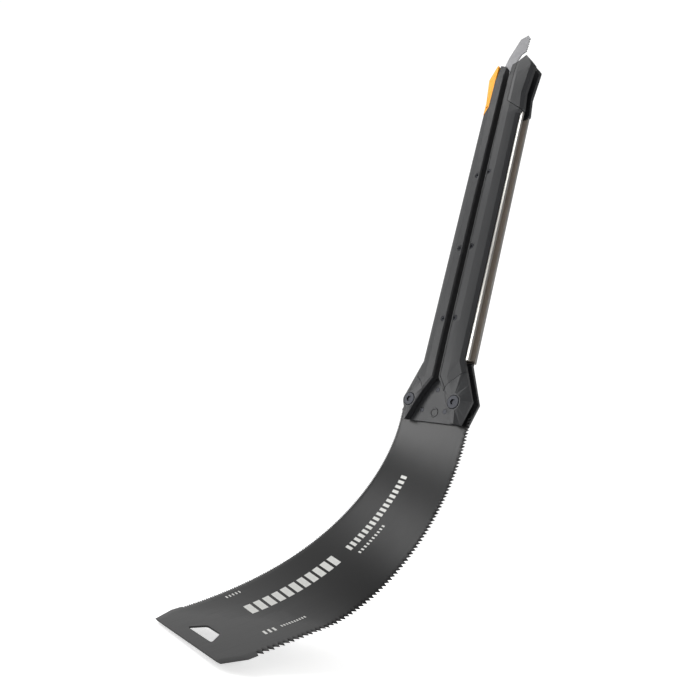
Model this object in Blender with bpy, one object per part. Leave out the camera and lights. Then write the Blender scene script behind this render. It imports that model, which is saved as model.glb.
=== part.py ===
"""Folding pull saw: a double-edged flexible blade on a hub, between two handle halves that fold over it.

+Z runs up the handle, +X towards the coarse teeth, -Y is the front. The origin is the middle of the hub,
level with the two fold pivots. Every size below is in millimetres and depths are measured from the blade's
middle plane; distances are measured sideways from the slit between the halves. The blade is modelled flexed,
as a chain of rigid strips joined along its bending lines.
"""
import math

import bmesh
import bpy
from mathutils import Matrix, Vector

MM = 0.001
FRONT, BACK = -1, 1
GAP = 0.3                       # air between pieces that meet
ROUND_SIDES = 24
SCREW_SIDES = 16
WIDE = 60.0                     # reach of a cutting tool past the part

# Blade, in flat measures: distance down from the pivots, and across from the centre line
BLADE_THICKNESS = 1.0
BLADE_HALF_WIDTH = 37.0
BLADE_END = 278.0
TIP_HALF_WIDTH = 31.8           # straight end between the two chamfers
CHAMFER_START = BLADE_END - 13.0
TOOTH_START = 8.0
TOOTH_END = BLADE_END - 20.0
FINE_PITCH = 25.4 / 17
COARSE_PITCH_HUB = 25.4 / 10
COARSE_PITCH_TIP = 25.4 / 7
FINE_DEPTH = 0.9
COARSE_DEPTH = 1.7
TOOTH_RAKE = 0.3                # share of the pitch from gullet to point, leaning to the handle
TANG = ((35.0, 2.0), (31.0, -9.0), (12.0, -13.0))           # upper outline, across and down
HANG_HOLE = ((6.4, BLADE_END - 17.6), (11.6, BLADE_END - 8.1))

# Flex: strips joined by bending lines that swing across the blade towards the tip
FLEX_LINES = 9
FLEX_START = 16.65
FLEX_TIP = 31.85                # length past the last strip's middle that stays unbent
FLEX_SPACING = (BLADE_END - FLEX_START - FLEX_TIP) / FLEX_LINES
FLEX_REACH = 248.0              # length over which curvature and skew change
BEND_RADIUS_HUB = 129.0
BEND_RADIUS_TIP = 255.0
SKEW_SWELL = 0.458
SKEW_TIP = -1.139

# Fold: each blade edge lies this far from the rib of the half that folds over it
CORE_X = 8.2                    # outer face of the rib beside the slit
FOLD_CLEARANCE = 1.2
PIVOT_X = (BLADE_HALF_WIDTH + CORE_X + FOLD_CLEARANCE) / 2

# Hub
PLATE_THICKNESS = 2.2
PLATE_INNER = BLADE_THICKNESS / 2 + GAP
PLATE_OUTER = PLATE_INNER + PLATE_THICKNESS
PLATE_OUTLINE = ((PIVOT_X + 0.8, -16.7), (PIVOT_X + 6.8, -13.0), (PIVOT_X + 9.8, -4.0), (PIVOT_X + 7.8, 7.0),
                 (PIVOT_X - 0.2, 9.5), (6.0, 17.0), (1.0, 19.0))
RIVETS = ((-12.0, -7.0), (12.0, -7.0), (0.0, 11.0))
RIVET_RADIUS = 1.8
BUSH_BORE = 3.3
BUSH_RADIUS = 4.6
PIVOT_SHANK = 3.0
PIVOT_HEAD = 5.6
PIVOT_HEAD_THICK = 1.7
PIVOT_SOCKET = 2.1
PIVOT_SOCKET_DEPTH = 1.2
PIVOT_SINK = 1.6                # depth of the counterbore under the head
LOBE_FACE = 9.5                 # depth of the outside at the pivots
BOSS_RADIUS = 7.2

# Handle halves
SLIT = 2.9
HALF_TOP = 340.0
HALF_GAP = PLATE_OUTER + 0.4    # clear depth each side of the blade inside a half
MEETING = 0.15                  # front and back shells stop this far from the middle plane
HANDLE_FACE = 10.35
HANDLE_FACE_START = 70.0
FACE_CHAMFER = 0.6
FLAT_WIDTH = 9.0                # flat strip beside the slit before the face falls away
SHOULDER_BACK = 3.5
SHOULDER_RISE = 1.9
EDGE_DEPTH = 6.8
FLARE_EDGE_DEPTH = 5.6
TOP_EDGE_DEPTH = 5.3
TOP_FACE = 7.4
TOP_CREASE = HALF_TOP - 15.0
CORNER_Z = 2.2
HEEL_Z = -17.0
FLARE_TOP = 35.0
SHELL_FOOT = 7.0
SHELL_END = HALF_TOP + 12.0
CORE_START = 36.0
RAIL_START = CORE_START + GAP
RAIL_END = HALF_TOP - 62.3
RAIL_THICKNESS = 1.1
RAIL_INNER = HALF_GAP + 1.5
RAIL_OUTER = RAIL_INNER + RAIL_THICKNESS
RAIL_X = CORE_X + 0.4
HEM_DEPTH = HALF_GAP + 0.2
HEM_WIDTH = 2.5
V_FOOT = (PIVOT_X - 12.0, 8.6)  # where the V below the slit meets the lobes
V_TOP = 20.0
# Curve between shell and lobe: degrees about a pivot, and radius
PARTING = ((60.0, 33.0), (79.5, 26.4), (102.0, 19.6), (120.0, 17.3), (144.4, 14.8))
PARTING_STEPS = 12

# Handle screws
SCREW_X = 6.1
SCREW_SHARES = (0.214, 0.414, 0.637)            # heights as shares of the handle
SCREW_SHANK = 1.2
SCREW_HEAD = 2.3
SCREW_HEAD_THICK = 1.7
SCREW_SUNK = 0.2
SCREW_SOCKET = 1.1
SCREW_SOCKET_DEPTH = 0.9

# What differs between the halves: edges as (height, distance), tops as (distance, height)
RIGHT_HALF = {
    "name": "right", "sign": 1, "rail": PIVOT_X + 2.7, "rib_end": SHELL_END + WIDE, "heel": PIVOT_X + 0.3,
    "edge": ((-18.0, PIVOT_X + 8.3), (CORNER_Z, PIVOT_X + 15.0), (FLARE_TOP, PIVOT_X + 0.1),
             (RAIL_END - 1.2, PIVOT_X + 0.1), (RAIL_END + 1.8, PIVOT_X + 3.2),
             (HALF_TOP - 41.0, PIVOT_X + 1.4), (HALF_TOP - 11.0, PIVOT_X + 4.9)),
    "top": ((SLIT, HALF_TOP), (PIVOT_X - 14.5, HALF_TOP + 0.5), (PIVOT_X - 6.2, HALF_TOP + 5.0),
            (PIVOT_X + 5.4, HALF_TOP - 11.7)),
}
LEFT_HALF = {
    "name": "left", "sign": -1, "rail": PIVOT_X - 4.2, "rib_end": RAIL_END + GAP, "heel": PIVOT_X + 0.3,
    "edge": ((-16.5, PIVOT_X + 4.3), (CORNER_Z, PIVOT_X + 10.3), (FLARE_TOP, PIVOT_X - 3.7),
             (RAIL_END - 1.2, PIVOT_X - 3.7), (HALF_TOP - 34.0, PIVOT_X - 3.9),
             (HALF_TOP - 4.5, PIVOT_X - 1.7)),
    "top": ((SLIT, HALF_TOP), (PIVOT_X - 12.2, HALF_TOP + 6.0), (PIVOT_X - 8.2, HALF_TOP + 8.5),
            (PIVOT_X - 1.2, HALF_TOP - 1.8)),
}

# End cap of the right half
CAP_SEAM = CORE_X + 0.5
CAP_FOOT = HALF_TOP - 46.0
CAP_SLOPE = -0.927

# Lock lever of the left half: outline as (distance, height) with the depth of its outside
LEVER = (((PIVOT_X - 10.0, HALF_TOP - 43.5), 9.4), ((PIVOT_X - 10.6, HALF_TOP + 5.5), 9.4),
         ((PIVOT_X - 8.2, HALF_TOP + 8.0), 8.0), ((PIVOT_X + 0.3, HALF_TOP - 4.5), 6.3),
         ((PIVOT_X - 3.4, HALF_TOP - 34.0), 6.8), ((PIVOT_X - 3.9, HALF_TOP - 49.0), 7.4))
LEVER_PIN = (PIVOT_X - 6.8, HALF_TOP - 41.5)
LEVER_PIN_RADIUS = 1.1
LEVER_PIN_TOP = 7.4
LEVER_TRAVEL_GAP = 1.7
LEVER_FOOT_GAP = 0.5
POCKET_FLOOR = HALF_GAP + 1.4
SPRING_RADIUS = 2.1
SPRING_THICK = 1.1

# Starter blade of the left half, outline measured from its pin
STARTER_PIN = (7.0, HALF_TOP - 7.0)
STARTER_PIN_RADIUS = 1.6
STARTER_PIN_END = 6.2
STARTER_EYE = 3.4
STARTER_THICKNESS = 1.2
STARTER_BACK = ((6.0, 3.0), (6.0, 17.0), (2.7, 28.0), (-6.9, 46.5), (-15.0, 47.0))
STARTER_EDGE = ((-18.2, 41.4), (-17.1, 27.0))
STARTER_BELLY = ((-11.8, 25.4), (-4.1, 11.0))
STARTER_TEETH = 5
STARTER_TOOTH_DEPTH = 1.3
STARTER_RAKE = 0.45


def clear_scene():
    for old in list(bpy.data.objects):
        bpy.data.objects.remove(old, do_unlink=True)


def surface(name, colour, roughness, metallic=0.0):
    material = bpy.data.materials.new(name)
    material.use_nodes = True
    shader = material.node_tree.nodes["Principled BSDF"]
    shader.inputs["Base Color"].default_value = (*colour, 1.0)
    shader.inputs["Roughness"].default_value = roughness
    shader.inputs["Metallic"].default_value = metallic
    return material


def pivot_empty(name, frame, parent=None):
    """An empty on a joint's axis; frame is its place in the world, in millimetres."""
    empty = bpy.data.objects.new(name, None)
    bpy.context.collection.objects.link(empty)
    local = frame
    if parent:
        empty.parent = parent["empty"]
        local = parent["frame"].inverted() @ frame
    empty.matrix_local = Matrix.Translation(local.translation * MM) @ local.to_3x3().to_4x4()
    return {"empty": empty, "frame": frame}


def make(name, bm, material=None, holder=None):
    """Turn world-millimetre geometry into an object, held by a joint's empty where it moves."""
    if holder:
        bm.transform(holder["frame"].inverted())
    bm.transform(Matrix.Scale(MM, 4))
    bmesh.ops.recalc_face_normals(bm, faces=bm.faces)
    mesh = bpy.data.meshes.new(name)
    bm.to_mesh(mesh)
    bm.free()
    item = bpy.data.objects.new(name, mesh)
    bpy.context.collection.objects.link(item)
    if material:
        mesh.materials.append(material)
        mesh.shade_smooth()
        mesh.set_sharp_from_angle(angle=math.radians(30))
    if holder:
        item.parent = holder["empty"]
    return item


def cut(target, cutter, operation="DIFFERENCE"):
    cutter.hide_render = True
    cutter.display_type = "WIRE"
    modifier = target.modifiers.new(cutter.name, "BOOLEAN")
    modifier.operation = operation
    modifier.solver = "EXACT"
    modifier.object = cutter


def loft(rings, looped=False, bm=None):
    """Skin between rings of points; looped joins the last ring to the first, otherwise both ends close."""
    bm = bm or bmesh.new()
    loops = [[bm.verts.new(point) for point in ring] for ring in rings]
    pairs = list(zip(loops, loops[1:]))
    if looped:
        pairs.append((loops[-1], loops[0]))
    else:
        bm.faces.new(loops[0])
        bm.faces.new(loops[-1])
    for low, high in pairs:
        for i in range(len(low)):
            j = (i + 1) % len(low)
            bm.faces.new((low[i], low[j], high[j], high[i]))
    return bm


def prism(outline, low, high, side=FRONT, bm=None):
    """Outline of (x, z) points carried from one depth to another."""
    return loft([[(x, side * depth, z) for x, z in outline] for depth in (low, high)], bm=bm)


def ring(x, z, radius, depth, side=FRONT, sides=ROUND_SIDES, flats=0):
    """Points of a circle, or of a polygon with the given flats, about an axis that runs front to back."""
    points = []
    for k in range(sides):
        angle = math.tau * k / sides
        reach = radius
        if flats:
            half = math.pi / flats
            reach = radius / math.cos((angle % (2 * half)) - half)
        points.append((x + reach * math.cos(angle), side * depth, z + reach * math.sin(angle)))
    return points


def turned(x, z, profile, side=FRONT, sides=ROUND_SIDES, looped=False, bm=None):
    return loft([ring(x, z, radius, depth, side, sides) for radius, depth in profile], looped, bm)


def mirrored(outline, sign):
    return [(sign * x, z) for x, z in outline]


def read(table, place):
    """Value at a place, straight between the table's rows of (place, value)."""
    if place <= table[0][0]:
        return table[0][1]
    for (low, a), (high, b) in zip(table, table[1:]):
        if place <= high:
            return a + (b - a) * (place - low) / (high - low)
    return table[-1][1]


def clip(outline, distance):
    """Keep the part of an outline where distance(point) is positive."""
    kept = []
    for i, here in enumerate(outline):
        there = outline[(i + 1) % len(outline)]
        a, b = distance(here), distance(there)
        if a >= 0:
            kept.append(here)
        if (a >= 0) != (b >= 0):
            share = a / (a - b)
            kept.append((here[0] + share * (there[0] - here[0]), here[1] + share * (there[1] - here[1])))
    return kept


# Blade ------------------------------------------------------------------------------------------

def flex_place(index):
    return FLEX_START + (index + 0.5) * FLEX_SPACING


def flex_skew(index):
    share = (flex_place(index) - FLEX_START) / FLEX_REACH
    return 4 * SKEW_SWELL * share * (1 - share) + SKEW_TIP * share ** 2


def flex_angle(index):
    share = (flex_place(index) - FLEX_START) / FLEX_REACH
    return FLEX_SPACING * ((1 - share) / BEND_RADIUS_HUB + share / BEND_RADIUS_TIP)


def flex_axis(index):
    skew = flex_skew(index)
    return Vector((math.cos(skew), 0.0, -math.sin(skew)))


def past_line(index, point):
    """Distance of a flat point (across, down) beyond a bending line, square to the line."""
    across, down = point
    skew = flex_skew(index)
    return (down - flex_place(index)) * math.cos(skew) - across * math.sin(skew)


def tooth_row(side, depth, pitch_at):
    """Points of one toothed edge from hub to tip; teeth that a bending line would cut are left out."""
    points = []
    root, edge = side * (BLADE_HALF_WIDTH - depth), side * BLADE_HALF_WIDTH
    down = TOOTH_START
    while down + pitch_at(down) < TOOTH_END:
        pitch = pitch_at(down)
        ends = [(edge, down), (edge, down + pitch)]
        clear = all(past_line(i, ends[0]) * past_line(i, ends[1]) > 0
                    and min(abs(past_line(i, end)) for end in ends) > depth
                    for i in range(FLEX_LINES))
        points.append((root, down))
        if clear:
            points.append((edge, down + TOOTH_RAKE * pitch))
        down += pitch
    points.append((root, down))
    return points


def coarse_pitch(down):
    share = (down - TOOTH_START) / (TOOTH_END - TOOTH_START)
    return COARSE_PITCH_HUB + (COARSE_PITCH_TIP - COARSE_PITCH_HUB) * share


def blade_outline():
    fine = tooth_row(-1, FINE_DEPTH, lambda down: FINE_PITCH)
    coarse = tooth_row(1, COARSE_DEPTH, coarse_pitch)
    tang = list(TANG) + [(-x, down) for x, down in reversed(TANG)]
    half_end = [(BLADE_HALF_WIDTH, TOOTH_END + GAP), (BLADE_HALF_WIDTH, CHAMFER_START),
                (TIP_HALF_WIDTH, BLADE_END)]
    end = [(-x, down) for x, down in half_end] + half_end[::-1]
    return tang + fine + end + coarse[::-1]


def build_blade(steel):
    half = BLADE_THICKNESS / 2
    outline = blade_outline()
    frame = Matrix.Identity(4)
    holder = None
    for index in range(FLEX_LINES + 1):
        piece = outline
        if index:
            here = Matrix.Translation((0.0, 0.0, -flex_place(index - 1)))
            bend = Matrix.Rotation(-flex_angle(index - 1), 4, flex_axis(index - 1))
            frame = frame @ here @ bend @ here.inverted()
            holder = pivot_empty(f"flex_{index}_axis", frame @ here, holder)
            piece = clip(piece, lambda p: past_line(index - 1, p) - GAP / 2)
        if index < FLEX_LINES:
            piece = clip(piece, lambda p: -past_line(index, p) - GAP / 2)
        bm = prism([(across, -down) for across, down in piece], -half, half)
        bm.transform(frame)
        name = f"blade_strip_{index}" if index else "blade_root"
        strip = make(name, bm, steel, holder)
        if index == 0:
            cut(strip, make("blade_root_bores", hub_bores()))
    bm = prism([(x, -down) for x, down in HANG_HOLE] + [(-x, -down) for x, down in reversed(HANG_HOLE)],
               -PLATE_OUTER, PLATE_OUTER)
    bm.transform(frame)
    cut(strip, make("hang_hole", bm, holder=holder))


# Hub --------------------------------------------------------------------------------------------

def hub_bores():
    bores = bmesh.new()
    holes = [(x, 0.0, BUSH_RADIUS + GAP) for x in (-PIVOT_X, PIVOT_X)]
    holes += [(x, z, RIVET_RADIUS + GAP) for x, z in RIVETS]
    for x, z, radius in holes:
        turned(x, z, ((radius, -WIDE), (radius, WIDE)), bm=bores)
    return bores


def build_hub(plastic, steel):
    outline = list(PLATE_OUTLINE) + [(-x, z) for x, z in reversed(PLATE_OUTLINE)]
    cutter = make("hub_bores", hub_bores())
    for side, name in ((FRONT, "hub_front_plate"), (BACK, "hub_back_plate")):
        cut(make(name, prism(outline, PLATE_INNER, PLATE_OUTER, side), plastic), cutter)
    for number, (x, z) in enumerate(RIVETS, 1):
        body = ((RIVET_RADIUS, -PLATE_OUTER), (RIVET_RADIUS, PLATE_OUTER))
        make(f"hub_rivet_{number}", turned(x, z, body, sides=SCREW_SIDES), steel)
    for sign, name in ((-1, "left"), (1, "right")):
        build_pivot(sign * PIVOT_X, name, steel)


def build_pivot(x, name, steel):
    """Bush through the hub, screw from the front with a hexagon socket, round nut behind."""
    seat = LOBE_FACE - PIVOT_SINK
    under = seat + GAP
    top = under + PIVOT_HEAD_THICK
    end = seat - GAP
    bush = ((BUSH_BORE, -end), (BUSH_RADIUS, -end), (BUSH_RADIUS, end), (BUSH_BORE, end))
    make(f"{name}_pivot_bush", turned(x, 0.0, bush, looped=True), steel)
    rings = [ring(x, 0.0, radius, depth) for radius, depth in (
        (PIVOT_SHANK, -top + GAP), (PIVOT_SHANK, under), (PIVOT_HEAD, under), (PIVOT_HEAD, top - GAP),
        (PIVOT_HEAD - GAP, top))]
    rings += [ring(x, 0.0, PIVOT_SOCKET, depth, flats=6) for depth in (top, top - PIVOT_SOCKET_DEPTH)]
    make(f"{name}_pivot_screw", loft(rings), steel)
    bore = PIVOT_SHANK + GAP
    nut = ((bore, -under), (PIVOT_HEAD, -under), (PIVOT_HEAD, -top), (bore, -top))
    make(f"{name}_pivot_nut", turned(x, 0.0, nut, looped=True), steel)


# Handle halves ----------------------------------------------------------------------------------

def inner_x(half, z):
    return read(((HEEL_Z, half["heel"]), (V_FOOT[1], V_FOOT[0]), (V_TOP, SLIT)), z)


def face_depth(z):
    return read(((0.0, LOBE_FACE), (HANDLE_FACE_START, HANDLE_FACE), (TOP_CREASE, HANDLE_FACE),
                 (SHELL_END, TOP_FACE)), z)


def edge_depth(z):
    return read(((CORNER_Z, FLARE_EDGE_DEPTH), (FLARE_TOP, EDGE_DEPTH), (TOP_CREASE, EDGE_DEPTH),
                 (SHELL_END, TOP_EDGE_DEPTH)), z)


def section(half, z):
    """The outside of a half across the handle: flat beside the slit, then falling to the outer edge."""
    start, outer, face, edge = inner_x(half, z), read(half["edge"], z), face_depth(z), edge_depth(z)
    return [(start, face - FACE_CHAMFER), (start + FACE_CHAMFER, face),
            (min(start + FLAT_WIDTH, (start + outer) / 2), face),
            (outer - SHOULDER_BACK, edge + SHOULDER_RISE), (outer, edge)]


def half_loft(half, side):
    """The solid outside of a half from the lobes to past its top, before its inside is cut away."""
    rings = []
    for z in sorted({SHELL_FOOT, V_TOP, HANDLE_FACE_START, TOP_CREASE, SHELL_END}
                    | {height for height, distance in half["edge"] if height > V_TOP}):
        outside = section(half, z)
        points = [(outside[0][0], MEETING)] + outside + [(outside[-1][0], MEETING)]
        rings.append([(half["sign"] * x, side * depth, z) for x, depth in points])
    return loft(rings)


def parting(offset):
    """The curve where shell and lobe meet, about the pivot with a radius that grows outwards."""
    first, last = PARTING[-1][0], PARTING[0][0]
    points = []
    for k in range(PARTING_STEPS + 1):
        degrees = first + (last - first) * k / PARTING_STEPS
        radius, angle = read(PARTING, degrees) + offset, math.radians(degrees)
        points.append((PIVOT_X + radius * math.cos(angle), radius * math.sin(angle)))
    return points


def beyond(a, b):
    """Signed distance to the left of the line from a to b."""
    length = math.hypot(b[0] - a[0], b[1] - a[1])
    return lambda p: ((b[0] - a[0]) * (p[1] - a[1]) - (b[1] - a[1]) * (p[0] - a[0])) / length


def lobe_outline(half):
    foot, corner, top = [(distance, height) for height, distance in half["edge"][:3]]
    curve = parting(-GAP / 2)
    outline = [(half["heel"], HEEL_Z), (WIDE, foot[1]), (WIDE, curve[-1][1])] + curve[::-1]
    outline = clip(outline, beyond(foot, corner))
    return clip(outline, beyond(corner, top))


def reach(outline, x, z, angle):
    """Distance from (x, z) to the outline in the given direction."""
    found = []
    dx, dz = math.cos(angle), math.sin(angle)
    for i, (ax, az) in enumerate(outline):
        bx, bz = outline[(i + 1) % len(outline)]
        ex, ez = bx - ax, bz - az
        cross = dx * ez - dz * ex
        if abs(cross) > 1e-9:
            along = ((ax - x) * ez - (az - z) * ex) / cross
            share = ((ax - x) * dz - (az - z) * dx) / cross
            if along > 0 and -1e-6 <= share <= 1 + 1e-6:
                found.append(along)
    return min(found)


def build_lobe(half, side, name, plastic, holder):
    """Cover round the pivot: its outline, a raised boss, and a counterbore for the pivot screw's head."""
    outline = lobe_outline(half)
    corners = [math.atan2(z, x - PIVOT_X) % math.tau for x, z in outline]
    even = [math.tau * k / ROUND_SIDES for k in range(ROUND_SIDES)]
    spread = math.pi / ROUND_SIDES
    angles = sorted(corners + [a for a in even if min(abs(a - c) for c in corners) > spread])
    rims = [reach(outline, PIVOT_X, 0.0, angle) for angle in angles]
    seat = LOBE_FACE - PIVOT_SINK
    boss = min(BOSS_RADIUS, min(rims) - GAP)

    def loop(radius, depth):
        points = []
        for angle, rim in zip(angles, rims):
            out = radius or rim
            x, z = PIVOT_X + out * math.cos(angle), out * math.sin(angle)
            points.append((half["sign"] * x, side * (depth or read(section(half, z), x)), z))
        return points

    bore = BUSH_RADIUS + GAP
    sunk = PIVOT_HEAD + GAP
    rings = [loop(None, HALF_GAP), loop(None, None), loop(boss, LOBE_FACE), loop(sunk, LOBE_FACE),
             loop(sunk, seat), loop(bore, seat), loop(bore, HALF_GAP)]
    make(name, loft(rings, looped=True), plastic, holder)


def screw_bores(half, name, holder):
    """Stepped bores for the three screws, from the sunk heads in front to the nuts behind."""
    bores = bmesh.new()
    seat = HANDLE_FACE - SCREW_SUNK - SCREW_HEAD_THICK - GAP
    wide, narrow = SCREW_HEAD + GAP, SCREW_SHANK + GAP
    profile = ((wide, -WIDE), (wide, -seat), (narrow, -seat), (narrow, seat), (wide, seat), (wide, WIDE))
    for share in SCREW_SHARES:
        turned(half["sign"] * SCREW_X, share * HALF_TOP, profile, sides=SCREW_SIDES, bm=bores)
    return make(name, bores, holder=holder)


def build_screws(half, steel, holder):
    x = half["sign"] * SCREW_X
    face = HANDLE_FACE - SCREW_SUNK
    under = face - SCREW_HEAD_THICK
    bore = SCREW_SHANK + GAP
    for number, share in enumerate(SCREW_SHARES, 1):
        z = share * HALF_TOP
        profile = ((SCREW_SHANK, -face + GAP), (SCREW_SHANK, under), (SCREW_HEAD, under), (SCREW_HEAD, face),
                   (SCREW_SOCKET, face), (SCREW_SOCKET, face - SCREW_SOCKET_DEPTH))
        make(f"{half['name']}_screw_{number}", turned(x, z, profile, sides=SCREW_SIDES), steel, holder)
        nut = ((bore, -under), (SCREW_HEAD, -under), (SCREW_HEAD, -face), (bore, -face))
        nut_mesh = turned(x, z, nut, sides=SCREW_SIDES, looped=True)
        make(f"{half['name']}_nut_{number}", nut_mesh, steel, holder)


def build_rail(half, side, name, steel, holder):
    """Steel strip lining one side of the channel, its outer lip hemmed inwards."""
    lip = half["rail"]
    profile = [(RAIL_X, RAIL_INNER), (RAIL_X, RAIL_OUTER), (lip, RAIL_OUTER), (lip, HEM_DEPTH),
               (lip - HEM_WIDTH, HEM_DEPTH), (lip - HEM_WIDTH, RAIL_INNER)]
    rings = [[(half["sign"] * x, side * depth, z) for x, depth in profile] for z in (RAIL_START, RAIL_END)]
    make(name, loft(rings), steel, holder)


def half_cutters(half, holder):
    """The shared cutting tools of a half: lobe seat, channel, space for the rails, sloped top."""
    sign, name = half["sign"], half["name"]
    curve = parting(GAP / 2)
    seat = curve + [(WIDE + WIDE, curve[-1][1]), (WIDE + WIDE, -WIDE), (-WIDE, -WIDE), (-WIDE, curve[0][1])]
    channel = [(-WIDE, -WIDE), (WIDE, -WIDE), (WIDE, SHELL_END + WIDE + WIDE)]
    if half["rib_end"] < SHELL_END:
        channel += [(-WIDE, SHELL_END + WIDE + WIDE), (-WIDE, half["rib_end"]), (CORE_X, half["rib_end"])]
    else:
        channel += [(CORE_X, SHELL_END + WIDE + WIDE)]
    channel += [(CORE_X, CORE_START), (-WIDE, CORE_START)]
    rail_x = (CORE_X + RAIL_X) / 2
    low, high = CORE_START + MEETING, RAIL_END + GAP
    rails = [(rail_x, low), (WIDE, low), (WIDE, high), (rail_x, high)]
    above = [(-WIDE, HALF_TOP)] + list(half["top"])
    above += [(WIDE, half["top"][-1][1]), (WIDE, SHELL_END + WIDE), (-WIDE, SHELL_END + WIDE)]
    tools = {"lobe_seat": (seat, WIDE), "channel": (channel, HALF_GAP), "rail_space": (rails, RAIL_OUTER + GAP),
             "top_slope": (above, WIDE)}
    return {tool: make(f"{name}_{tool}", prism(mirrored(outline, sign), -depth, depth), holder=holder)
            for tool, (outline, depth) in tools.items()}


def build_half(half, plastic, steel):
    name = half["name"]
    holder = pivot_empty(f"{name}_fold_axis", Matrix.Translation((half["sign"] * PIVOT_X, 0.0, 0.0)))
    cutters = half_cutters(half, holder)
    bores = screw_bores(half, f"{name}_screw_bores", holder)
    shells = []
    for side, word in ((FRONT, "front"), (BACK, "back")):
        shell = make(f"{name}_{word}_shell", half_loft(half, side), plastic, holder)
        for cutter in cutters.values():
            cut(shell, cutter)
        cut(shell, bores)
        shells.append(shell)
        build_lobe(half, side, f"{name}_{word}_lobe", plastic, holder)
        build_rail(half, side, f"{name}_{word}_rail", steel, holder)
    build_screws(half, steel, holder)
    return holder, shells, cutters


def cap_region(grow):
    seam, foot = CAP_SEAM - grow, CAP_FOOT - grow
    high = SHELL_END + WIDE
    return [(seam, foot), (WIDE, foot + CAP_SLOPE * (WIDE - seam)), (WIDE, high), (seam, high)]


def build_caps(holder, shells, cutters, plastic):
    """End cap of the right half: it takes over the outer part of both shells above a slanted seam."""
    inside = make("cap_space", prism(cap_region(-GAP / 2), -WIDE, WIDE), holder=holder)
    outside = make("cap_seat", prism(cap_region(GAP / 2), -WIDE, WIDE), holder=holder)
    for side, word, shell in ((FRONT, "front", shells[0]), (BACK, "back", shells[1])):
        cut(shell, outside)
        cap = make(f"right_{word}_cap", half_loft(RIGHT_HALF, side), plastic, holder)
        cut(cap, inside, "INTERSECT")
        cut(cap, cutters["channel"])
        cut(cap, cutters["top_slope"])


def build_lever(holder, front_shell, yellow, steel):
    """Thumb lever on the left half's outer edge, in a pocket of the front shell, on its own pin."""
    sign = LEFT_HALF["sign"]
    pin_x, pin_z = sign * LEVER_PIN[0], LEVER_PIN[1]
    (foot_in, foot_high), (foot_out, foot_low) = LEVER[0][0], LEVER[-1][0]
    slope = (foot_low - foot_high) / (foot_out - foot_in)
    wall, sill = foot_in - GAP, foot_high - LEVER_FOOT_GAP
    clear = LEVER[1][0][0] - LEVER_TRAVEL_GAP
    pocket = [(clear, SHELL_END + WIDE), (clear, HALF_TOP), (wall, sill), (WIDE, sill + slope * (WIDE - wall)),
              (WIDE, SHELL_END + WIDE)]
    cut(front_shell, make("lever_pocket", prism(mirrored(pocket, sign), POCKET_FLOOR, WIDE), holder=holder))
    bore = LEVER_PIN_RADIUS + GAP
    socket = ((bore, HALF_GAP + GAP), (bore, WIDE))
    cut(front_shell, make("lever_pin_socket", turned(pin_x, pin_z, socket, sides=SCREW_SIDES), holder=holder))
    base = POCKET_FLOOR + GAP
    axis = pivot_empty("lever_axis", Matrix.Translation((pin_x, 0.0, pin_z)), holder)
    rings = [[(sign * x, FRONT * base, z) for (x, z), rise in LEVER],
             [(sign * x, FRONT * rise, z) for (x, z), rise in LEVER]]
    bm = loft(rings)
    bmesh.ops.triangulate(bm, faces=[face for face in bm.faces if len(face.verts) > 4])
    lever = make("lock_lever", bm, yellow, axis)
    recess = base + SPRING_THICK + GAP
    space = ((SPRING_RADIUS + GAP, 0.0), (SPRING_RADIUS + GAP, recess), (bore, recess), (bore, WIDE))
    cut(lever, make("lever_bore", turned(pin_x, pin_z, space, sides=SCREW_SIDES), holder=axis))
    pin = ((LEVER_PIN_RADIUS, HALF_GAP + GAP + GAP), (LEVER_PIN_RADIUS, LEVER_PIN_TOP))
    make("lock_lever_pin", turned(pin_x, pin_z, pin, sides=SCREW_SIDES), steel, holder)
    coil = ((bore, base), (SPRING_RADIUS, base), (SPRING_RADIUS, base + SPRING_THICK), (bore, base + SPRING_THICK))
    make("lock_lever_spring", turned(pin_x, pin_z, coil, sides=SCREW_SIDES, looped=True), steel, holder)


def starter_outline():
    """Side view of the starter blade: an eye on the pin, a leaning neck, a broad point toothed on one side."""
    steps = SCREW_SIDES // 2
    eye = [(-STARTER_EYE * math.cos(math.pi * k / steps), -STARTER_EYE * math.sin(math.pi * k / steps))
           for k in range(steps + 1)]
    high, low = Vector(STARTER_EDGE[0]), Vector(STARTER_EDGE[1])
    teeth = []
    for k in range(STARTER_TEETH):
        point = high.lerp(low, k / STARTER_TEETH)
        gullet = high.lerp(low, (k + STARTER_RAKE) / STARTER_TEETH)
        teeth += [tuple(point), (gullet.x + STARTER_TOOTH_DEPTH, gullet.y)]
    outline = eye + list(STARTER_BACK) + teeth + [tuple(low)] + list(STARTER_BELLY)
    return [(STARTER_PIN[0] + x, STARTER_PIN[1] + z) for x, z in outline]


def build_starter(holder, shells, steel):
    """Starter blade that swings out of the left half's top on a blind pin."""
    sign = LEFT_HALF["sign"]
    x, z = sign * STARTER_PIN[0], STARTER_PIN[1]
    bore, end = STARTER_PIN_RADIUS + GAP, STARTER_PIN_END + GAP
    cutter = make("starter_pin_socket", turned(x, z, ((bore, -end), (bore, end)), sides=SCREW_SIDES), holder=holder)
    for shell in shells:
        cut(shell, cutter)
    axis = pivot_empty("starter_axis", Matrix.Translation((x, 0.0, z)), holder)
    half = STARTER_THICKNESS / 2
    blade = make("starter_blade", prism(mirrored(starter_outline(), sign), -half, half), steel, axis)
    cut(blade, make("starter_eye", turned(x, z, ((bore, -WIDE), (bore, WIDE)), sides=SCREW_SIDES), holder=axis))
    pin = ((STARTER_PIN_RADIUS, -STARTER_PIN_END), (STARTER_PIN_RADIUS, STARTER_PIN_END))
    make("starter_pin", turned(x, z, pin, sides=SCREW_SIDES), steel, holder)


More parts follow.
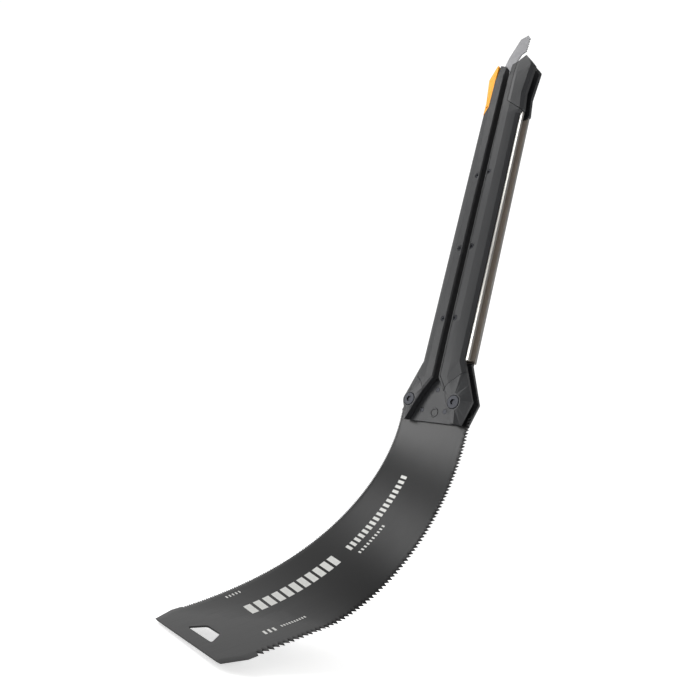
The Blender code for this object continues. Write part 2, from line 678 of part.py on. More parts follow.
def main():
    clear_scene()
    plastic = surface("glass_filled_nylon", (0.055, 0.055, 0.058), 0.55)
    coated = surface("black_coated_spring_steel", (0.03, 0.03, 0.033), 0.38, 0.4)
    bright = surface("brushed_steel", (0.62, 0.61, 0.59), 0.3, 1.0)
    dark = surface("blackened_steel", (0.04, 0.04, 0.042), 0.4, 0.8)
    yellow = surface("yellow_nylon", (0.85, 0.4, 0.02), 0.45)
    build_blade(coated)
    build_hub(plastic, dark)
    holder, shells, cutters = build_half(RIGHT_HALF, plastic, bright)
    build_caps(holder, shells, cutters, plastic)
    holder, shells, cutters = build_half(LEFT_HALF, plastic, bright)
    build_lever(holder, shells[0], yellow, dark)
    build_starter(holder, shells, bright)


main()
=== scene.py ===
import bmesh, bpy, math
import numpy as np
from mathutils import Euler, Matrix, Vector


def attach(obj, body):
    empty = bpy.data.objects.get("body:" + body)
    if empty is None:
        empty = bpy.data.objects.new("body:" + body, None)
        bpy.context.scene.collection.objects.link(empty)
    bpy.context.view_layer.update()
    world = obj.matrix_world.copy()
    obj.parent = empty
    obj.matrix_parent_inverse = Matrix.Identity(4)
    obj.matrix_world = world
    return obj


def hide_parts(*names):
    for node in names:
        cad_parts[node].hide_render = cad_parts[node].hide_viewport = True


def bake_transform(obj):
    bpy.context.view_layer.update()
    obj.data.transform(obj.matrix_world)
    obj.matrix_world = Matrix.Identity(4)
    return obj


# folding pull saw: flexed double-edged blade, two grooved handle halves, small starter blade
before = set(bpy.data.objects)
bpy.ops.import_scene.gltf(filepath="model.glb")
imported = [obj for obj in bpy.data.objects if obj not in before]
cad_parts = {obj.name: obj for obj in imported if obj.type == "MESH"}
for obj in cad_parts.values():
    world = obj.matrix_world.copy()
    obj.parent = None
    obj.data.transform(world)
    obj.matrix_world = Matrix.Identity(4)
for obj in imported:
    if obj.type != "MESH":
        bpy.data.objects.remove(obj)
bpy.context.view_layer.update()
mm = 0.001


# Linear RGBA from an sRGB hex string: c/12.92 below 0.04045, otherwise ((c + 0.055)/1.055)^2.4.
def srgb(hexColour):
    out = []
    for i in (1, 3, 5):
        c = int(hexColour[i:i + 2], 16) / 255
        out.append(c / 12.92 if c <= 0.04045 else ((c + 0.055) / 1.055) ** 2.4)
    return (*out, 1.0)


def newMaterial(name):
    material = bpy.data.materials.new(name)
    material.use_nodes = True
    tree = material.node_tree
    return material, tree, tree.nodes["Principled BSDF"]


# One node: settings named like a socket fill it, others are properties; links feed its inputs.
def addNode(tree, kind, links=None, **settings):
    node = tree.nodes.new(kind)
    for key, value in settings.items():
        if hasattr(node, key):
            setattr(node, key, value)
        else:
            node.inputs[key.replace("_", " ")].default_value = value
    for socket, source in (links or {}).items():
        tree.links.new(source, node.inputs[socket])
    return node


# Quads of a rows x columns grid of points; wrap joins the last column to the first.
def gridFaces(rows, columns, wrap=False):
    i, j = np.meshgrid(np.arange(rows - 1), np.arange(columns if wrap else columns - 1), indexing="ij")
    k = (j + 1) % columns
    corners = [i * columns + j, i * columns + k, (i + 1) * columns + k, (i + 1) * columns + j]
    return np.stack(corners, -1).reshape(-1, 4)


# Mesh from an array of points in millimetres and lists of corner numbers.
def newPiece(name, points, faces, material, smooth=None):
    mesh = bpy.data.meshes.new(name)
    mesh.from_pydata((np.asarray(points, float) * mm).tolist(), [], [list(map(int, f)) for f in faces])
    mesh.update()
    mesh.materials.append(material)
    piece = bpy.data.objects.new(name, mesh)
    bpy.context.scene.collection.objects.link(piece)
    if smooth is not None:
        mesh.shade_smooth()
        mesh.set_sharp_from_angle(angle=math.radians(smooth))
    return piece


# Turns every face of a closed mesh outward.
def outward(piece):
    shape = bmesh.new()
    shape.from_mesh(piece.data)
    bmesh.ops.recalc_face_normals(shape, faces=shape.faces)
    shape.to_mesh(piece.data)
    shape.free()


# moulded nylon: colour, roughness and grain for the shells, the caps, the hub and the lever
nylonFinish = {
    "shell": ("#18191b", 0.5, 0.55), "cap": ("#191a1c", 0.44, 0.5), "hub": ("#1b1c1e", 0.46, 0.5),
    "lever": ("#ff9d00", 0.42, 0.5), "cloudMm": 22, "lightShare": 1.28, "glossier": 0.06, "duller": 0.08,
    "grainStrength": 0.22, "grainDeep": 0.00012, "ior": 1.53,
}
# brushed metal: colour, roughness and line spacing for the strips, the linings, the starter blade and the screws
metalFinish = {
    "strip": ("#bdbbb6", 0.3, 0.35), "lining": ("#bdb3a8", 0.5, 0.35), "starter": ("#8c8c8e", 0.5, 0.3),
    "screw": ("#2e2f33", 0.36, 0.2), "stretch": 0.02, "blotMm": 14, "darkShare": 0.82,
    "glossier": 0.08, "duller": 0.14, "lineDeep": 0.00008,
}
coatFinish = {
    "colour": "#0b0b0c", "roughness": 0.34, "lineMm": 0.35, "stretch": 0.015, "cloudMm": 35,
    "darkShare": 0.8, "lightShare": 1.15, "glossier": 0.05, "duller": 0.1,
    "lineStrength": 0.08, "lineDeep": 0.00005, "specular": 0.4,
}
inkFinish = {"colour": "#e9e9e6", "wornColour": "#d4d4d0", "patchMm": 1.5, "roughness": 0.6}


# A linear colour made darker or lighter by a share, kept at 1 or below.
def shaded(colour, share):
    return tuple(min(1, c * share) for c in colour[:3]) + (1.0,)


# Mix of two colours by a pattern's strength, linked to the shader's base colour.
def mixColours(tree, shader, pattern, first, second):
    tint = addNode(tree, "ShaderNodeMix", {0: pattern.outputs["Fac"]}, data_type="RGBA")
    tint.inputs[6].default_value, tint.inputs[7].default_value = first, second
    tree.links.new(tint.outputs[2], shader.inputs["Base Color"])


# Roughness running from low to high with a pattern, and the same or another pattern as a bump.
def roughenBy(tree, shader, pattern, low, high, height, strength, deep):
    spread = addNode(tree, "ShaderNodeMapRange", {"Value": pattern.outputs["Fac"]}, To_Min=low, To_Max=high)
    tree.links.new(spread.outputs[0], shader.inputs["Roughness"])
    bump = addNode(tree, "ShaderNodeBump", {"Height": height}, Strength=strength, Distance=deep)
    tree.links.new(bump.outputs["Normal"], shader.inputs["Normal"])


# Glass-filled nylon 6 from a spark-eroded mould: matt, a fine pebble grain that breaks up the highlights.
def mouldedNylon(name, part):
    colour, roughness, grainMm = nylonFinish[part]
    material, tree, shader = newMaterial(name)
    place = addNode(tree, "ShaderNodeTexCoord").outputs["Object"]
    grain = addNode(tree, "ShaderNodeTexVoronoi", {"Vector": place}, Scale=1000 / grainMm, Randomness=1.0)
    cloud = addNode(tree, "ShaderNodeTexNoise", {"Vector": place}, Scale=1000 / nylonFinish["cloudMm"],
                    Detail=4.0, Roughness=0.6)
    mixColours(tree, shader, cloud, srgb(colour), shaded(srgb(colour), nylonFinish["lightShare"]))
    roughenBy(tree, shader, cloud, roughness - nylonFinish["glossier"], roughness + nylonFinish["duller"],
              grain.outputs["Distance"], nylonFinish["grainStrength"], nylonFinish["grainDeep"])
    shader.inputs["IOR"].default_value = nylonFinish["ior"]
    return material


# Steel brushed along its length: fine lines that stretch the highlight across the strip.
def brushedMetal(name, part, along="Z", metallic=1.0, bumpStrength=0.12):
    colour, roughness, lineMm = metalFinish[part]
    material, tree, shader = newMaterial(name)
    place = addNode(tree, "ShaderNodeTexCoord").outputs["Object"]
    turned = addNode(tree, "ShaderNodeMapping", {"Vector": place})
    turned.inputs["Scale"].default_value = [metalFinish["stretch"] if axis == along else 1 for axis in "XYZ"]
    lines = addNode(tree, "ShaderNodeTexNoise", {"Vector": turned.outputs[0]}, Scale=1000 / lineMm,
                    Detail=3.0, Roughness=0.65)
    blot = addNode(tree, "ShaderNodeTexNoise", {"Vector": place}, Scale=1000 / metalFinish["blotMm"], Detail=3.0)
    mixColours(tree, shader, blot, shaded(srgb(colour), metalFinish["darkShare"]), srgb(colour))
    roughenBy(tree, shader, lines, roughness - metalFinish["glossier"], roughness + metalFinish["duller"],
              lines.outputs["Fac"], bumpStrength, metalFinish["lineDeep"])
    shader.inputs["Metallic"].default_value = metallic
    return material


# Spring steel with a black low-friction coating: satin, with long grinding lines under the coat.
def coatedBlade():
    material, tree, shader = newMaterial("blackCoatedSpringSteel")
    flat = addNode(tree, "ShaderNodeUVMap", uv_map="flatSheet").outputs[0]   # metres across and down the flat sheet
    turned = addNode(tree, "ShaderNodeMapping", {"Vector": flat})
    turned.inputs["Scale"].default_value = (1, coatFinish["stretch"], 1)
    lines = addNode(tree, "ShaderNodeTexNoise", {"Vector": turned.outputs[0]}, Scale=1000 / coatFinish["lineMm"],
                    Detail=2.0, Roughness=0.5)
    cloud = addNode(tree, "ShaderNodeTexNoise", {"Vector": flat}, Scale=1000 / coatFinish["cloudMm"], Detail=4.0)
    base = srgb(coatFinish["colour"])
    mixColours(tree, shader, cloud, shaded(base, coatFinish["darkShare"]), shaded(base, coatFinish["lightShare"]))
    low, high = coatFinish["roughness"] - coatFinish["glossier"], coatFinish["roughness"] + coatFinish["duller"]
    roughenBy(tree, shader, lines, low, high, lines.outputs["Fac"], coatFinish["lineStrength"],
              coatFinish["lineDeep"])
    shader.inputs["Specular IOR Level"].default_value = coatFinish["specular"]
    return material


# Pad-printed white ink: thin, slightly patchy, dull.
def printedInk():
    material, tree, shader = newMaterial("whitePadPrint")
    place = addNode(tree, "ShaderNodeTexCoord").outputs["Object"]
    patch = addNode(tree, "ShaderNodeTexNoise", {"Vector": place}, Scale=1000 / inkFinish["patchMm"], Detail=5.0)
    mixColours(tree, shader, patch, srgb(inkFinish["wornColour"]), srgb(inkFinish["colour"]))
    shader.inputs["Roughness"].default_value = inkFinish["roughness"]
    return material


print("materials")
nylon = mouldedNylon("glassFilledNylon", "shell")
nylonCap = mouldedNylon("glassFilledNylonCap", "cap")
nylonHub = mouldedNylon("glassFilledNylonHub", "hub")
yellowNylon = mouldedNylon("yellowNylon", "lever")
railSteel = brushedMetal("brushedSteelStrip", "strip")
liningSteel = brushedMetal("brushedSteelLining", "lining", metallic=0.5)
starterSteel = brushedMetal("groundSteelBlade", "starter", along="X")
screwSteel = brushedMetal("blackOxideScrew", "screw", metallic=0.8, bumpStrength=0.05)
bladeSteel = coatedBlade()
ink = printedInk()


blade = {
    "thickness": 1.0, "halfWidth": 37.0, "end": 278.0, "tipHalf": 31.8, "chamferStart": 265.0,
    "toothStart": 8.0, "toothEnd": 258.0, "finePitch": 25.4 / 17,
    "coarsePitchHub": 25.4 / 10, "coarsePitchTip": 25.4 / 7,
    "fineDepth": 1.6, "coarseDepth": 2.9, "toothLean": 0.3, "lastGullet": 0.4,
    "edgeThickness": 0.3, "groundWidth": 3.2, "fineSet": 0.12, "coarseSet": 0.18,
    "lines": 9, "flexStart": 16.65, "spacing": 25.5, "reach": 248.0, "flexEnd": 238.0,
    "radiusHub": 129.0, "radiusTip": 255.0, "skewSwell": 0.458, "skewTip": -1.139,
}


# Swing of the bending line that crosses the centre at this distance: 4 a s (1 - s) + b s squared.
def skewAt(down):
    s = (down - blade["flexStart"]) / blade["reach"]
    return 4 * blade["skewSwell"] * s * (1 - s) + blade["skewTip"] * s * s


# Frames carried along the blade: each small step turns the rest of the sheet about its own bending
# line. Bend per mm falls from 1/radiusHub to 1/radiusTip; the last joint's share is packed in before
# flexEnd.
def lineFrames(steps=1800):
    edges = np.linspace(blade["flexStart"], blade["flexEnd"], steps + 1)
    middles, width = (edges[:-1] + edges[1:]) / 2, edges[1] - edges[0]
    share = (middles - blade["flexStart"]) / blade["reach"]
    bend = (1 - share) / blade["radiusHub"] + share / blade["radiusTip"]
    lastStart = blade["flexStart"] + (blade["lines"] - 1) * blade["spacing"]
    lastShare = (lastStart + blade["spacing"] / 2 - blade["flexStart"]) / blade["reach"]
    lastAngle = blade["spacing"] * ((1 - lastShare) / blade["radiusHub"] + lastShare / blade["radiusTip"])
    bend[middles > lastStart] = lastAngle / (blade["flexEnd"] - lastStart)
    skew = skewAt(middles)
    frames, current = [np.eye(4)], np.eye(4)
    for down, b, angle in zip(middles, skew, -bend * width):
        x, z, c, s = math.cos(b), -math.sin(b), math.cos(angle), math.sin(angle)
        turn = np.eye(4)
        turn[:3, :3] = [[c + x * x * (1 - c), -z * s, x * z * (1 - c)], [z * s, c, -x * s],
                        [x * z * (1 - c), x * s, c + z * z * (1 - c)]]
        pivot = np.array([0, 0, -down])
        turn[:3, 3] = pivot - turn[:3, :3] @ pivot
        current = current @ turn
        frames.append(current)
    return edges, np.array(frames)


lineEdges, frames = lineFrames()


# The frame of the bending line that crosses the centre at this distance down.
def frameAt(down):
    step = (down - blade["flexStart"]) / (lineEdges[1] - lineEdges[0])
    return frames[int(np.clip(step, 0, len(frames) - 1))]


# The bending line through a flat point: the place d with d + across tan(skew(d)) = down, found by
# halving.
def lineThrough(across, down):
    low = np.full(np.shape(across), blade["flexStart"])
    high = np.full(np.shape(across), blade["flexEnd"])
    for k in range(24):
        middle = (low + high) / 2
        past = middle + across * np.tan(skewAt(middle)) > down
        high, low = np.where(past, middle, high), np.where(past, low, middle)
    return (low + high) / 2


# Flat points (across, down, rise to the front), in mm, carried to the flexed sheet by their line's
# frame.
def bent(across, down, rise=0.0):
    across, down, rise = np.broadcast_arrays(*(np.asarray(value, float) for value in (across, down, rise)))
    where = (lineThrough(across, down) - blade["flexStart"]) / (lineEdges[1] - lineEdges[0])
    chosen = frames[np.clip(np.round(where).astype(int), 0, len(frames) - 1)]
    flat = np.stack([across, -rise, -down, np.ones_like(across)], -1)
    return np.einsum("...ij,...j->...i", chosen, flat)[..., :3]


# Points (down, inset) of a toothed edge between toothStart and toothEnd: gullet, raked point, gullet.
def toothPoints(depth, pitchAt):
    points, down = [], blade["toothStart"]
    while down + pitchAt(down) < blade["toothEnd"]:
        pitch = pitchAt(down)
        points += [(down, depth), (down + blade["toothLean"] * pitch, 0.0)]
        down += pitch
    return points + [(down, depth), (down + blade["lastGullet"] * depth, 0.0)]


def coarsePitch(down):
    share = (down - blade["toothStart"]) / (blade["toothEnd"] - blade["toothStart"])
    return blade["coarsePitchHub"] + (blade["coarsePitchTip"] - blade["coarsePitchHub"]) * share


fineTeeth = np.array(toothPoints(blade["fineDepth"], lambda down: blade["finePitch"]))
coarseTeeth = np.array(toothPoints(blade["coarseDepth"], coarsePitch))


# Teeth bent aside by turns: 0 at every gullet, plus or minus the set at every point.
def toothSet(side, down):
    teeth, amount = (fineTeeth, blade["fineSet"]) if side < 0 else (coarseTeeth, blade["coarseSet"])
    aside = np.where(teeth[:, 1] > 0, 0.0, amount)
    aside[np.cumsum(teeth[:, 1] == 0) % 2 == 0] *= -1
    return np.interp(down, teeth[:, 0], aside, left=0.0, right=0.0)


# half width of the sheet, teeth left out, at each distance down
sideOutline = np.array([
    (-13.0, 12.0), (-9.0, 31.0), (2.0, 35.0), (blade["toothStart"], blade["halfWidth"]),
    (blade["chamferStart"], blade["halfWidth"]), (blade["end"], blade["tipHalf"])])


# Half width of the sheet at a distance down, teeth included, on side -1 (fine) or 1 (coarse).
def edgeAt(side, down):
    teeth = fineTeeth if side < 0 else coarseTeeth
    plain = np.interp(down, sideOutline[:, 0], sideOutline[:, 1])
    inset = np.interp(down, teeth[:, 0], teeth[:, 1], left=0.0, right=0.0)
    return plain - np.where((down > teeth[0, 0]) & (down < teeth[-1, 0]), inset, 0.0)


# hang hole near the tip: half width at each distance down, corners rounded
holeSides = np.array([(260.4, 4.9), (260.6, 5.8), (261.1, 6.5), (262.0, 7.2),
                      (268.4, 10.9), (269.2, 11.1), (269.7, 10.7), (269.9, 9.9)])
# openings in the hidden end for the two pivots and three rivets: across, down, radius
hubBores = [(23.2, 0.0, 4.8), (-23.2, 0.0, 4.8), (12.0, 7.0, 2.0), (-12.0, 7.0, 2.0), (0.0, -11.0, 2.0)]
boreMargin, gridStep, seamInset = 1.2, 0.05, 0.2
bladeRows = np.unique(np.round(np.concatenate([
    sideOutline[:, 0], fineTeeth[:, 0], coarseTeeth[:, 0], holeSides[:, 0],
    np.arange(-12.0, 8.0, 1.0), np.arange(259.0, 278.0, 1.0)]) / gridStep) * gridStep)
# columns as shares of the half width, and the two sides of the hang hole
innerColumns = [-0.86, -0.76, -0.66, -0.56, -0.46, "hole-", -0.06, 0.06, "hole+", 0.46, 0.56, 0.66, 0.76, 0.86]


# Flat points (across, down, half thickness, set), rows down the blade and columns between the toothed
# edges.
def bladeGrid():
    rows = []
    for down in bladeRows:
        left, right = edgeAt(-1, down), edgeAt(1, down)
        plain = np.interp(down, sideOutline[:, 0], sideOutline[:, 1])
        hole = np.interp(down, holeSides[:, 0], holeSides[:, 1])
        ground = plain - blade["groundWidth"]                       # behind this the sheet has its full thickness
        row = [(-left, blade["edgeThickness"] / 2, toothSet(-1, down)), (-ground, blade["thickness"] / 2, 0.0)]
        for column in innerColumns:
            across = {"hole-": -hole, "hole+": hole}.get(column) if isinstance(column, str) else column * plain
            row.append((across, blade["thickness"] / 2, 0.0))
        row += [(ground, blade["thickness"] / 2, 0.0), (right, blade["edgeThickness"] / 2, toothSet(1, down))]
        rows.append([(across, down, half, aside) for across, half, aside in row])
    return np.array(rows)


grid = bladeGrid()
gridRows, gridColumns = grid.shape[:2]
cells = gridFaces(gridRows, gridColumns)
flatPoints = grid.reshape(-1, 4)
cellCentres = flatPoints[cells].mean(1)
holeLeft, holeRight = 2 + innerColumns.index("hole-"), 2 + innerColumns.index("hole+")
cellColumn = np.tile(np.arange(gridColumns - 1), gridRows - 1)
inHole = (cellCentres[:, 1] > holeSides[0, 0]) & (cellCentres[:, 1] < holeSides[-1, 0])
inHole &= (cellColumn >= holeLeft) & (cellColumn < holeRight)
inBore = np.zeros(len(cells), bool)
for across, down, radius in hubBores:
    inBore |= np.hypot(cellCentres[:, 0] - across, cellCentres[:, 1] - down) < radius + boreMargin
kept = ~inHole & ~inBore
pieceEdges = np.append(blade["flexStart"] + blade["spacing"] * np.arange(blade["lines"]),
                       blade["flexEnd"] - seamInset)
pieceEdges[0] += seamInset
cellPiece = np.searchsorted(pieceEdges, lineThrough(cellCentres[:, 0], cellCentres[:, 1]))
frontAll = bent(flatPoints[:, 0], flatPoints[:, 1], flatPoints[:, 3] + flatPoints[:, 2])
backAll = bent(flatPoints[:, 0], flatPoints[:, 1], flatPoints[:, 3] - flatPoints[:, 2])


# Closed piece of the sheet: front and back cells, and a wall along every edge that only one cell uses.
def sheetPiece(name, chosen):
    corners, back = np.unique(chosen, return_inverse=True)
    back = back.reshape(chosen.shape)
    count = len(corners)
    faces = [tuple(f) for f in back] + [tuple(count + f[::-1]) for f in back]
    used = dict.fromkeys((a, b) for face in back for a, b in zip(face, np.roll(face, -1)))
    walls = [(b, a, count + a, count + b) for a, b in used if (b, a) not in used]
    piece = newPiece(name, np.vstack([frontAll[corners], backAll[corners]]), faces + walls, bladeSteel, smooth=20)
    layer = piece.data.uv_layers.new(name="flatSheet")
    flat = np.vstack([flatPoints[corners][:, :2]] * 2) * mm
    loops = np.empty(len(piece.data.loops), int)
    piece.data.loops.foreach_get("vertex_index", loops)
    layer.data.foreach_set("uv", flat[loops].ravel())
    return piece, corners


print("blade")
pieceCells = [cells[kept & (cellPiece == k)] for k in range(blade["lines"] + 2)]
bodyNames = ["hub"] + [f"blade_{k}" for k in range(1, blade["lines"] + 1)]
cornerSets = [set(np.unique(c)) for c in pieceCells]
blendEnds = {}
for k, chosen in enumerate(pieceCells):
    sheetName = {0: "bladeRoot", blade["lines"] + 1: "bladeTip"}.get(k, f"bladeSpan{k}")
    piece, corners = sheetPiece(sheetName, chosen)
    if k == 0:
        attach(piece, "hub")
        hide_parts("blade_root")
    elif k == blade["lines"] + 1:
        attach(piece, bodyNames[-1])
        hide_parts(f"blade_strip_{blade['lines']}")
    else:
        before = np.array(sorted(cornerSets[k] & cornerSets[k - 1]))
        after = np.array(sorted(cornerSets[k] & cornerSets[k + 1]))
        lineAt = blade["flexStart"] + (k - 0.5) * blade["spacing"]
        skew = skewAt(lineAt)
        turnHere = frameAt(lineAt)
        heading = turnHere[:3, :3] @ np.array([-math.sin(skew), 0, -math.cos(skew)])
        nearEnd = max((frontAll[before] @ heading).max(), (backAll[before] @ heading).max())
        farEnd = min((frontAll[after] @ heading).min(), (backAll[after] @ heading).min())
        middle = (turnHere @ np.array([0, 0, -lineAt, 1]))[:3]
        start = middle + heading * (nearEnd - middle @ heading)
        end = middle + heading * (farEnd - middle @ heading)
        blendEnds[k] = (bodyNames[k - 1], bodyNames[k], tuple(start * mm), tuple(end * mm))
        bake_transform(piece)
        if k < blade["lines"]:
            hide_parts(f"blade_strip_{k}")


# plain bars and ticks (from, to across; from, to down; in mm), slanted bars lean by the last figure
printMarks = {
    "thickness": 0.04,
    "bars": [(-13.5, -3.0, 226.0 - 7.2 * k, 231.0 - 7.2 * k, 0.8) for k in range(11)],
    "smallBars": [(-11.0, -5.0, 139.0 - 4.6 * k, 141.6 - 4.6 * k, 0.4) for k in range(17)],
    "ticks": [(0.5, 3.0, 139.0 - 3.1 * k, 140.4 - 3.1 * k, 0.0) for k in range(10)],
    "rulerFine": [(-30.5, -28.0, 231.0 - 2.4 * k, 232.0 - 2.4 * k, 0.0) for k in range(5)],
    "rulerCoarse": [(18.0, 22.0, 240.0 - 3.4 * k, 241.6 - 3.4 * k, 0.5) for k in range(3)],
    "rulerDots": [(18.6, 20.4, 227.5 - 2.0 * k, 228.5 - 2.0 * k, 0.0) for k in range(10)],
}


# Lays every patch on the front of the sheet; a patch on the root or the tip rides with that piece's body, a patch on
# a span is baked in place like the span itself.
def addInk():
    byPiece, patchRows, patchColumns = {}, 9, 5
    for group in ("bars", "smallBars", "ticks", "rulerFine", "rulerCoarse", "rulerDots"):
        for x0, x1, d0, d1, lean in printMarks[group]:
            centre = lineThrough(np.array((x0 + x1) / 2), np.array((d0 + d1) / 2))
            byPiece.setdefault(int(np.searchsorted(pieceEdges, centre)), []).append((x0, x1, d0, d1, lean))
    for k, patches in byPiece.items():
        points, faces = [], []
        for x0, x1, d0, d1, lean in patches:
            u, v = np.meshgrid(np.linspace(0, 1, patchRows), np.linspace(0, 1, patchColumns), indexing="ij")
            across, down = x0 + (x1 - x0) * u, d0 + (d1 - d0) * v + lean * (u - 0.5)
            top = bent(across, down, blade["thickness"] / 2 + printMarks["thickness"]).reshape(-1, 3)
            base = len(points)
            points += top.tolist()
            faces += (gridFaces(patchRows, patchColumns)[:, ::-1] + base).tolist()
        patch = newPiece(f"inkPatch{k}", points, faces, ink, smooth=30)
        normal = np.array(patch.data.polygons[0].normal)
        if normal @ (frameAt(patches[0][2])[:3, :3] @ np.array([0, -1, 0])) < 0:
            patch.data.flip_normals()
        if k in blendEnds:
            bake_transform(patch)
        else:
            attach(patch, bodyNames[0] if k == 0 else bodyNames[-1])


addInk()


moulding = {
    "bevelMm": 0.45, "lobeBevelMm": 0.3, "leverBevelMm": 0.5, "metalBevelMm": 0.15, "starterBevelMm": 0.1,
    "pivotScrewBevelMm": 0.5, "screwBevelMm": 0.25, "bevelSteps": 3, "mergeMm": 0.002,
    "flatAngle": 0.6, "sharpAngle": 16, "bevelAngle": 14,
}


# Copy of a CAD part with its triangles joined into flat faces and its hard edges rounded off.
def refined(nodeName, material, bevelMm, pieceName, body):
    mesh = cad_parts[nodeName].data.copy()
    mesh.name = pieceName
    mesh.materials.clear()
    mesh.materials.append(material)
    shape = bmesh.new()
    shape.from_mesh(mesh)
    bmesh.ops.remove_doubles(shape, verts=shape.verts, dist=moulding["mergeMm"] * mm)
    bmesh.ops.dissolve_limit(shape, angle_limit=math.radians(moulding["flatAngle"]),
                             verts=shape.verts, edges=shape.edges)
    for face in shape.faces:
        face.material_index = 0
    shape.to_mesh(mesh)
    shape.free()
    mesh.shade_smooth()
    mesh.set_sharp_from_angle(angle=math.radians(moulding["sharpAngle"]))
    piece = bpy.data.objects.new(pieceName, mesh)
    bpy.context.scene.collection.objects.link(piece)
    if bevelMm:
        rounding = piece.modifiers.new("softEdge", "BEVEL")
        rounding.width, rounding.segments, rounding.limit_method = bevelMm * mm, moulding["bevelSteps"], "ANGLE"
        rounding.angle_limit, rounding.harden_normals = math.radians(moulding["bevelAngle"]), True
    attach(piece, body)
    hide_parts(nodeName)


print("handle")
for side in ("left", "right"):
    for face in ("front", "back"):
        for kind, material, bevel, slotName in (("shell", nylon, "bevelMm", "dark_nylon"),
                                                ("lobe", nylonHub, "lobeBevelMm", "dark_nylon"),
                                                ("rail", railSteel, "metalBevelMm", "bright_steel")):
            refined(f"{side}_{face}_{kind}", material, moulding[bevel], f"{side}{face.title()}{kind.title()}",
                    f"{side}_half")
for face in ("front", "back"):
    refined(f"right_{face}_cap", nylonCap, moulding["bevelMm"], f"right{face.title()}Cap",
            "right_half")
    refined(f"hub_{face}_plate", nylonHub, moulding["metalBevelMm"], f"hub{face.title()}Plate",
            "hub")
refined("lock_lever", yellowNylon, moulding["leverBevelMm"], "lockLeverSkin", "lock_lever")
refined("starter_blade", starterSteel, moulding["starterBevelMm"], "starterBladeSkin",
        "starter_blade")

ridge = {
    "widthMm": 1.5, "heightMm": 0.5, "sinkMm": 0.3, "steepestCorner": 0.5,
    "beside": 4.1, "heights": (330.0, 200.0, 70.0, 21.5), "foot": (11.8, 10.6),
    "ringRadius": 3.4, "ringCentre": (1.5, -8.5), "ringDepth": 3.0, "ringSteps": 41,
}
# depth of the handle's face at each height
faceDepth = np.array([(0.0, 9.5), (70.0, 10.35), (325.0, 10.35), (352.0, 7.4)])


# Low ridge along (across, height) points on a handle face: a flat-topped section swept round mitred
# corners.
def raisedLine(name, path, facing, material, body, depth=None):
    path = np.array(path, float)
    steps = np.diff(path, axis=0)
    steps /= np.linalg.norm(steps, axis=1)[:, None]
    before, after = np.vstack([steps[:1], steps]), np.vstack([steps, steps[-1:]])
    mid = before + after
    mid /= np.linalg.norm(mid, axis=1)[:, None]
    side = np.stack([mid[:, 1], -mid[:, 0]], 1) / np.clip((mid * before).sum(1), ridge["steepestCorner"], 1)[:, None]
    width, height, sink = ridge["widthMm"], ridge["heightMm"], ridge["sinkMm"]
    section = [(-width / 2, -sink), (-width / 2, 0.0), (-width / 4, height),
               (width / 4, height), (width / 2, 0.0), (width / 2, -sink)]
    depth = np.interp(path[:, 1], faceDepth[:, 0], faceDepth[:, 1]) if depth is None else np.full(len(path), depth)
    points = [(p[0] + s[0] * a, -facing * (d + b), p[1] + s[1] * a)
              for p, s, d in zip(path, side, depth) for a, b in section]
    count = len(section)
    faces = [tuple(f) for f in gridFaces(len(path), count, wrap=True)]
    faces += [tuple(range(count))[::-1], tuple(range(len(points) - count, len(points)))]
    piece = newPiece(name, points, faces, material)
    outward(piece)
    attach(piece, body)


for sign, body in ((-1, "left_half"), (1, "right_half")):
    for facing, word in ((1, "Front"), (-1, "Back")):
        path = [(sign * ridge["beside"], height) for height in ridge["heights"]]
        path.append((sign * ridge["foot"][0], ridge["foot"][1]))
        raisedLine(f"{body.split('_')[0]}{word}Border", path, facing, nylon, body)
around = np.linspace(0, 2 * math.pi, ridge["ringSteps"])
ringPath = np.array(ridge["ringCentre"]) + ridge["ringRadius"] * np.stack([np.cos(around), np.sin(around)], 1)
raisedLine("hubRing", ringPath, 1, nylonHub, "hub", depth=ridge["ringDepth"])

# steel lining of the channel, seen between the two hems; (inner, outer) across for each half
lining = {
    "right": (10.0, 25.4), "left": (10.0, 18.5), "fromMm": 38.5, "toMm": 275.5,
    "near": 3.1, "far": 3.38, "steps": 12,
}


# Thin steel sheet on the inner wall of the channel, a plain closed box with a strip of quads along its
# length.
def channelLining(side, facing):
    sign = -1 if side == "left" else 1
    inner, outer = (sign * x for x in lining[side])
    heights = np.linspace(lining["fromMm"], lining["toMm"], lining["steps"])
    section = [(inner, lining["near"]), (outer, lining["near"]), (outer, lining["far"]), (inner, lining["far"])]
    points = [(x, -facing * depth, z) for z in heights for x, depth in section]
    faces = [tuple(f) for f in gridFaces(lining["steps"], 4, wrap=True)]
    faces += [(3, 2, 1, 0), tuple(range(len(points) - 4, len(points)))]
    piece = newPiece(f"{side}{'Front' if facing > 0 else 'Back'}Lining", points, faces, liningSteel)
    outward(piece)
    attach(piece, f"{side}_half")


for side in ("left", "right"):
    for facing in (1, -1):
        channelLining(side, facing)
for side in ("left", "right"):
    refined(f"{side}_pivot_screw", screwSteel, moulding["pivotScrewBevelMm"], f"{side}PivotScrew",
            "hub")
    for number in (1, 2, 3):
        refined(f"{side}_screw_{number}", screwSteel, moulding["screwBevelMm"], f"{side}Screw{number}",
                f"{side}_half")
for name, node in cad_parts.items():
    if any(word in name for word in ("screw", "nut", "pin", "spring", "rivet", "bush")):
        node.data.materials.clear()
        node.data.materials.append(railSteel if "spring" in name or "bush" in name else screwSteel)


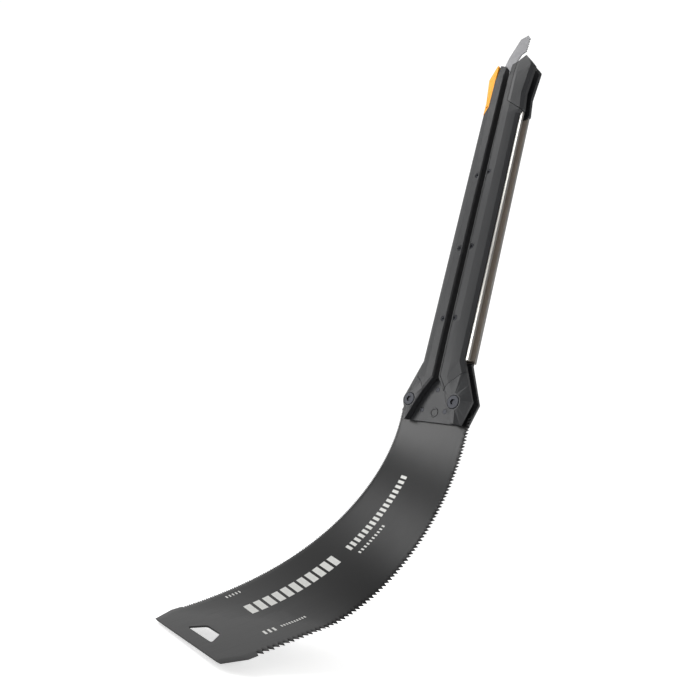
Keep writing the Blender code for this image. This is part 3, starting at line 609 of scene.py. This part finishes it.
studio = {
    "floorMm": -184.5, "floorSpanMm": 12000.0, "floorColour": "#f7f7f6", "floorGlow": 0.6,
    "roomGlow": 0.32, "paperGlow": 1.1, "fadeFrom": 0.3, "fadeTo": 0.66, "backwardTurn": 47.0,
    "cameraPlace": (0.28749, -0.33932, -0.08420), "cameraTurn": (1.822368, -0.264526, 0.820469),
    "lens": 27.54, "sensor": 36.0, "clip": (0.01, 60.0),
    # place and aim in metres, width in mm, power in watts
    "lights": {"overheadLight": ((-0.8, -0.9, 1.4), (0, -0.1, 0), 700, 6.5),
               "frontLight": ((-1.0, -1.15, 0.3), (0, 0, 0.1), 700, 9),
               "sideLight": ((1.4, -0.2, 0.6), (0, 0, 0.1), 500, 3.5)},
}


# Smooth white board, a trace of unevenness in its sheen.
def paleFloor():
    material, tree, shader = newMaterial("whiteBoard")
    place = addNode(tree, "ShaderNodeTexCoord").outputs["Object"]
    cloud = addNode(tree, "ShaderNodeTexNoise", {"Vector": place}, Scale=9.0, Detail=2.0)
    sheen = addNode(tree, "ShaderNodeMapRange", {"Value": cloud.outputs["Fac"]}, To_Min=0.75, To_Max=0.85)
    tree.links.new(sheen.outputs[0], shader.inputs["Roughness"])
    shader.inputs["Base Color"].default_value = srgb(studio["floorColour"])
    shader.inputs["Emission Color"].default_value = (1, 1, 1, 1)
    shader.inputs["Emission Strength"].default_value = studio["floorGlow"]
    return material


# White paper behind the saw fading to a dim room in front: brightness follows the direction's share of
# backward.
def studioAir():
    world = bpy.data.worlds.new("studioAir")
    world.use_nodes = True
    tree = world.node_tree
    turn = math.radians(studio["backwardTurn"])
    way = addNode(tree, "ShaderNodeTexCoord").outputs["Generated"]
    share = addNode(tree, "ShaderNodeVectorMath", {0: way}, operation="DOT_PRODUCT")
    share.inputs[1].default_value = (-math.sin(turn), math.cos(turn), 0)
    fade = addNode(tree, "ShaderNodeMapRange", {"Value": share.outputs["Value"]}, interpolation_type="SMOOTHSTEP",
                   From_Min=studio["fadeFrom"], From_Max=studio["fadeTo"],
                   To_Min=studio["roomGlow"], To_Max=studio["paperGlow"])
    tree.links.new(fade.outputs[0], tree.nodes["Background"].inputs["Strength"])
    tree.nodes["Background"].inputs["Color"].default_value = (1, 1, 1, 1)
    return world


# Round white area light aimed from its place at a target.
def softLight(name, place, target, sizeMm, power):
    lamp = bpy.data.lights.new(name, "AREA")
    lamp.shape, lamp.size, lamp.energy, lamp.color = "DISK", sizeMm * mm, power, (1, 1, 1)
    holder = bpy.data.objects.new(name, lamp)
    holder.location = place
    holder.rotation_euler = (Vector(target) - Vector(place)).to_track_quat("-Z", "Y").to_euler()
    bpy.context.scene.collection.objects.link(holder)


print("studio")
half = studio["floorSpanMm"] / 2
corners = [(x * half, y * half, studio["floorMm"]) for x, y in ((-1, -1), (1, -1), (1, 1), (-1, 1))]
floor = newPiece("floor", corners, [(0, 1, 2, 3)], paleFloor())
bpy.context.scene.world = studioAir()
for lightName, values in studio["lights"].items():
    softLight(lightName, *values)
bpy.context.scene.view_settings.view_transform = "Standard"
cameraData = bpy.data.cameras.new("camera")
cameraData.lens, cameraData.sensor_width = studio["lens"], studio["sensor"]
cameraData.clip_start, cameraData.clip_end = studio["clip"]
camera = bpy.data.objects.new("camera", cameraData)
camera.location, camera.rotation_euler = studio["cameraPlace"], Euler(studio["cameraTurn"], "XYZ")
bpy.context.scene.collection.objects.link(camera)
bpy.context.scene.camera = camera
